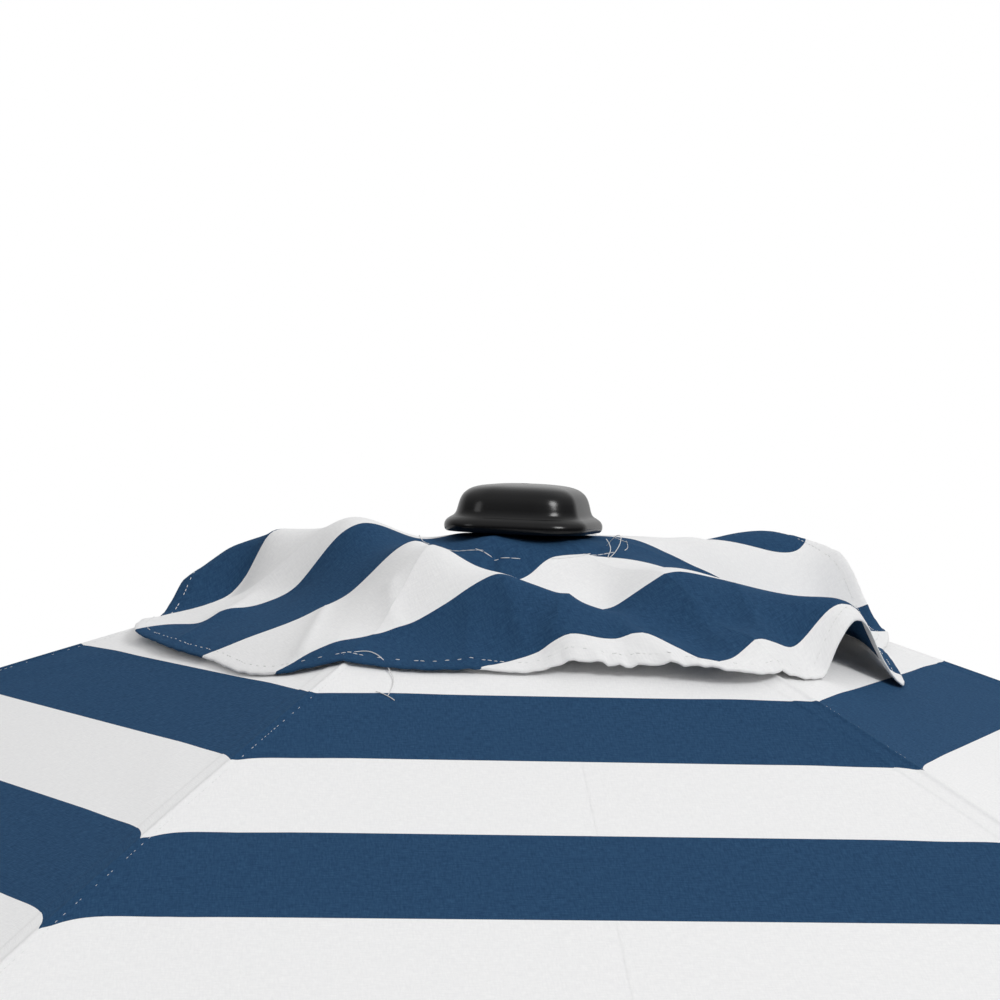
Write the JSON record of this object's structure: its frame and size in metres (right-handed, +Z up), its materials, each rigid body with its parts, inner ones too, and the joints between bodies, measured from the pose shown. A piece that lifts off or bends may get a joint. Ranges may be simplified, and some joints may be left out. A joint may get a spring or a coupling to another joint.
{
  "type": "beach umbrella",
  "caption": "Beach umbrella with a vented striped canopy on folding ribs and struts, a tilting telescoping pole, and a screw-in sand anchor.",
  "frame": {"origin": "centre of the sand anchor's blunt tip, on the pole's axis", "axes": "+Z up along the pole; +X along one rib; the middle of one gore faces -Y"},
  "size_m": [2.1826, 1.893, 2.4309],
  "materials": {
    "canopy_cloth": "woven, navy and white stripes",
    "finial": "satin black",
    "fitting": "moulded black",
    "anchor": "moulded grey",
    "button": "moulded grey",
    "rib_tip": "moulded black",
    "pole": "satin anodised",
    "rib": "white powder coat",
    "bracket": "white powder coat",
    "steel": "zinc plated"
  },
  "bodies": {
    "anchor_pole": {"sand_auger": "anchor", "handle_pin_left": "steel", "handle_pin_right": "steel", "lower_pole": "pole", "height_clamp": "fitting"},
    "handle_left": {"handle_left": "anchor"},
    "handle_right": {"handle_right": "anchor"},
    "anchor_knob": {"anchor_knob": "fitting"},
    "clamp_knob": {"clamp_knob": "fitting"},
    "middle_pole": {"middle_pole": "pole", "pole_bushing": "fitting", "tilt_socket": "fitting", "tilt_pin": "steel", "button_spring": "steel"},
    "tilt_button": {"tilt_button": "button"},
    "upper_pole": {"tilt_yoke": "fitting", "upper_pole": "pole", "crown_hub": "fitting", "crown_ring": "steel", "finial": "finial", "finial_screw": "steel"},
    "runner_catch": {"runner_catch": "steel"},
    "runner": {"runner": "fitting"},
    "rib_1": {"rib_1": "rib", "rib_tip_1": "rib_tip", "rib_bracket_1": "bracket", "canopy_section_1": "canopy_cloth", "vent_section_1": "canopy_cloth"},
    "strut_1": {"strut_1": "rib"},
    "rib_2": {"rib_2": "rib", "rib_tip_2": "rib_tip", "rib_bracket_2": "bracket", "canopy_section_2": "canopy_cloth", "vent_section_2": "canopy_cloth"},
    "strut_2": {"strut_2": "rib"},
    "rib_3": {"rib_3": "rib", "rib_tip_3": "rib_tip", "rib_bracket_3": "bracket", "canopy_section_3": "canopy_cloth", "vent_section_3": "canopy_cloth"},
    "strut_3": {"strut_3": "rib"},
    "rib_4": {"rib_4": "rib", "rib_tip_4": "rib_tip", "rib_bracket_4": "bracket", "canopy_section_4": "canopy_cloth", "vent_section_4": "canopy_cloth"},
    "strut_4": {"strut_4": "rib"},
    "rib_5": {"rib_5": "rib", "rib_tip_5": "rib_tip", "rib_bracket_5": "bracket", "canopy_section_5": "canopy_cloth", "vent_section_5": "canopy_cloth"},
    "strut_5": {"strut_5": "rib"},
    "rib_6": {"rib_6": "rib", "rib_tip_6": "rib_tip", "rib_bracket_6": "bracket", "canopy_section_6": "canopy_cloth", "vent_section_6": "canopy_cloth"},
    "strut_6": {"strut_6": "rib"}
  },
  "joints": [
    {"name": "handle_left_fold", "type": "hinge", "parent": "anchor_pole", "child": "handle_left", "pos_m": [-0.0335, 0, 0.27], "axis": [0, -1, 0], "range_deg": [0, 90]},
    {"name": "handle_right_fold", "type": "hinge", "parent": "anchor_pole", "child": "handle_right", "pos_m": [0.0335, 0, 0.27], "axis": [0, 1, 0], "range_deg": [0, 90]},
    {"name": "anchor_knob_turn", "type": "hinge", "parent": "anchor_pole", "child": "anchor_knob", "pos_m": [0, 0, 0.35], "axis": [0, 1, 0], "continuous": true},
    {"name": "clamp_knob_turn", "type": "hinge", "parent": "anchor_pole", "child": "clamp_knob", "pos_m": [0, 0, 0.873], "axis": [0, 1, 0], "continuous": true},
    {"name": "height_slide", "type": "slide", "parent": "anchor_pole", "child": "middle_pole", "axis": [0, 0, 1], "range_m": [-0.31, 0]},
    {"name": "tilt_button_press", "type": "slide", "parent": "middle_pole", "child": "tilt_button", "axis": [0, 1, 0], "range_m": [0, 0.003], "stiffness_N_per_m": 600, "deforming": ["button_spring"]},
    {"name": "tilt", "type": "hinge", "parent": "middle_pole", "child": "upper_pole", "pos_m": [0, 0, 1.27], "axis": [1, 0, 0], "range_deg": [0, 30]},
    {"name": "runner_catch_press", "type": "slide", "parent": "upper_pole", "child": "runner_catch", "axis": [0, 1, 0], "range_m": [0, 0.0036], "stiffness_N_per_m": 600},
    {"name": "runner_slide", "type": "slide", "parent": "upper_pole", "child": "runner", "axis": [0, 0, 1], "range_m": [-0.6758, 0]},
    {"name": "rib_1_fold", "type": "hinge", "parent": "upper_pole", "child": "rib_1", "pos_m": [0.036, 0, 2.38307], "axis": [0, 1, 0], "range_deg": [0, 68.5], "deforming": ["canopy_section_1", "vent_section_1"]},
    {"name": "strut_1_fold", "type": "hinge", "parent": "rib_1", "child": "strut_1", "pos_m": [0.51, 0, 2.2195], "axis": [0, 1, 0], "range_deg": [-137.2, 0.2]},
    {"name": "rib_2_fold", "type": "hinge", "parent": "upper_pole", "child": "rib_2", "pos_m": [0.018, 0.03118, 2.38307], "axis": [-0.866, 0.5, 0], "range_deg": [-0.1, 68.6], "deforming": ["canopy_section_2", "vent_section_2"]},
    {"name": "strut_2_fold", "type": "hinge", "parent": "rib_2", "child": "strut_2", "pos_m": [0.255, 0.44167, 2.2195], "axis": [-0.866, 0.5, 0], "range_deg": [-137.2, 0.2]},
    {"name": "rib_3_fold", "type": "hinge", "parent": "upper_pole", "child": "rib_3", "pos_m": [-0.018, 0.03118, 2.38307], "axis": [-0.866, -0.5, 0], "range_deg": [-0.1, 68.6], "deforming": ["canopy_section_3", "vent_section_3"]},
    {"name": "strut_3_fold", "type": "hinge", "parent": "rib_3", "child": "strut_3", "pos_m": [-0.255, 0.44167, 2.2195], "axis": [-0.866, -0.5, 0], "range_deg": [-137.2, 0.2]},
    {"name": "rib_4_fold", "type": "hinge", "parent": "upper_pole", "child": "rib_4", "pos_m": [-0.036, 0, 2.38307], "axis": [0, -1, 0], "range_deg": [-0.1, 68.6], "deforming": ["canopy_section_4", "vent_section_4"]},
    {"name": "strut_4_fold", "type": "hinge", "parent": "rib_4", "child": "strut_4", "pos_m": [-0.51, 0, 2.2195], "axis": [0, -1, 0], "range_deg": [-137.2, 0.2]},
    {"name": "rib_5_fold", "type": "hinge", "parent": "upper_pole", "child": "rib_5", "pos_m": [-0.018, -0.03118, 2.38307], "axis": [0.866, -0.5, 0], "range_deg": [-0.1, 68.6], "deforming": ["canopy_section_5", "vent_section_5"]},
    {"name": "strut_5_fold", "type": "hinge", "parent": "rib_5", "child": "strut_5", "pos_m": [-0.255, -0.44167, 2.2195], "axis": [0.866, -0.5, 0], "range_deg": [-137.2, 0.2]},
    {"name": "rib_6_fold", "type": "hinge", "parent": "upper_pole", "child": "rib_6", "pos_m": [0.018, -0.03118, 2.38307], "axis": [0.866, 0.5, 0], "range_deg": [-0.1, 68.6], "deforming": ["canopy_section_6", "vent_section_6"]},
    {"name": "strut_6_fold", "type": "hinge", "parent": "rib_6", "child": "strut_6", "pos_m": [0.255, -0.44167, 2.2195], "axis": [0.866, 0.5, 0], "range_deg": [-137.2, 0.2]}
  ],
  "couplings": [
    {"joint": "runner_slide", "follows": "rib_1_fold", "m_per_rad": -0.56442},
    {"joint": "strut_1_fold", "follows": "rib_1_fold", "ratio": -2},
    {"joint": "rib_2_fold", "follows": "rib_1_fold", "ratio": 1},
    {"joint": "strut_2_fold", "follows": "rib_1_fold", "ratio": -2},
    {"joint": "rib_3_fold", "follows": "rib_1_fold", "ratio": 1},
    {"joint": "strut_3_fold", "follows": "rib_1_fold", "ratio": -2},
    {"joint": "rib_4_fold", "follows": "rib_1_fold", "ratio": 1},
    {"joint": "strut_4_fold", "follows": "rib_1_fold", "ratio": -2},
    {"joint": "rib_5_fold", "follows": "rib_1_fold", "ratio": 1},
    {"joint": "strut_5_fold", "follows": "rib_1_fold", "ratio": -2},
    {"joint": "rib_6_fold", "follows": "rib_1_fold", "ratio": 1},
    {"joint": "strut_6_fold", "follows": "rib_1_fold", "ratio": -2}
  ]
}
